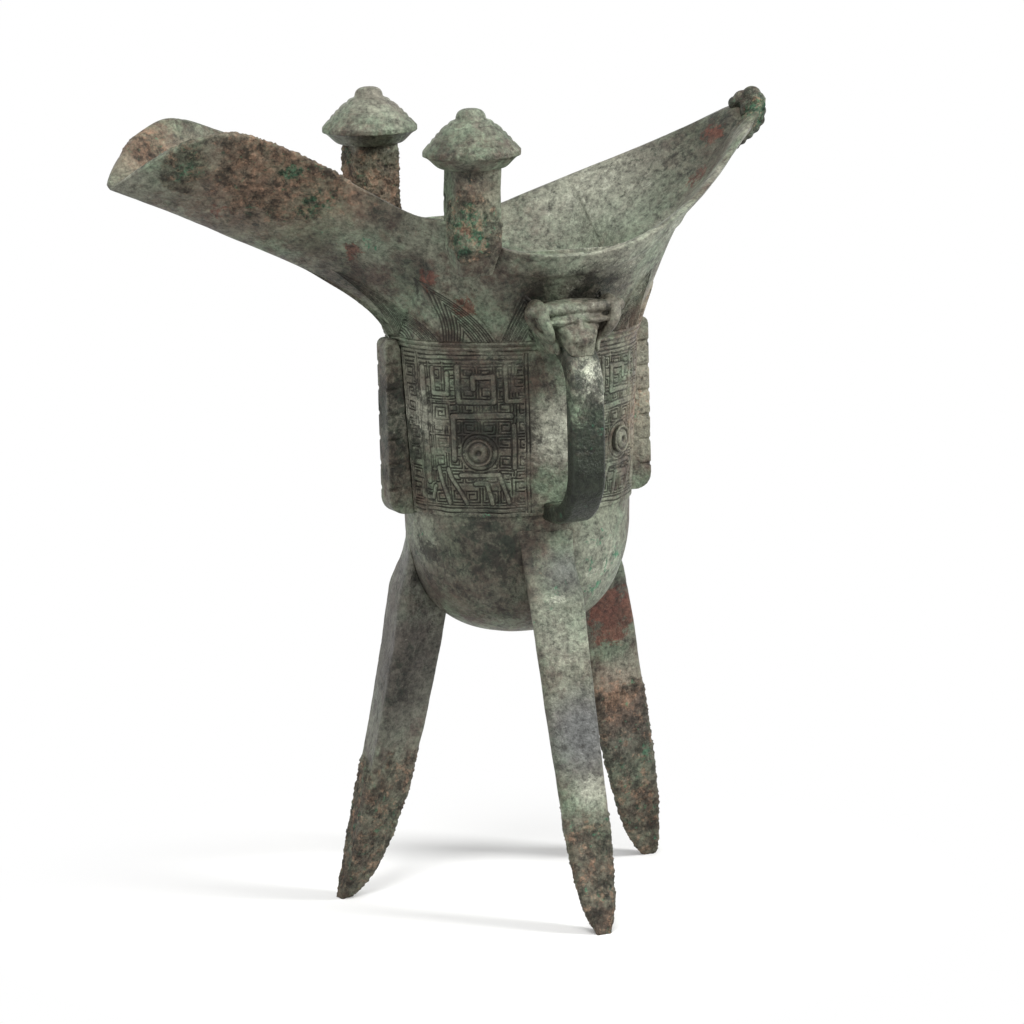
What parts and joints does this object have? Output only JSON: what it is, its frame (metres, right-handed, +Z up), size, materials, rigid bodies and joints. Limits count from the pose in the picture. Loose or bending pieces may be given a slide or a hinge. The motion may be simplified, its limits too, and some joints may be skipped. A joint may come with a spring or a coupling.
{
  "type": "bronze jue vessel",
  "caption": "Ancient tripod wine vessel of cast bronze with a pouring spout, pointed tail, capped rim posts, strap handle and mask decoration.",
  "frame": {"origin": "centre of the bounding box, on the ground plane that the three feet stand on", "axes": "+Z up, -X along the spout, +X to the tail, -Y to the handle"},
  "size_m": [0.179, 0.0928, 0.2064],
  "materials": {
    "cast_bronze_body": "patinated",
    "cast_bronze_legs": "patinated",
    "cast_bronze_posts": "patinated",
    "cast_bronze_caps": "patinated",
    "cast_bronze_handle": "patinated",
    "cast_bronze_flanges": "patinated"
  },
  "bodies": {
    "root": {"vessel": "cast_bronze_body", "leg_front": "cast_bronze_legs", "leg_spout_side": "cast_bronze_legs", "leg_tail_side": "cast_bronze_legs", "post_near": "cast_bronze_posts", "post_far": "cast_bronze_posts", "cap_near": "cast_bronze_caps", "cap_far": "cast_bronze_caps", "handle_strap": "cast_bronze_handle", "ox_head": "cast_bronze_handle", "flange_spout": "cast_bronze_flanges", "flange_tail": "cast_bronze_flanges", "flange_back": "cast_bronze_flanges", "mask_eyes": "cast_bronze_body"}
  },
  "joints": []
}
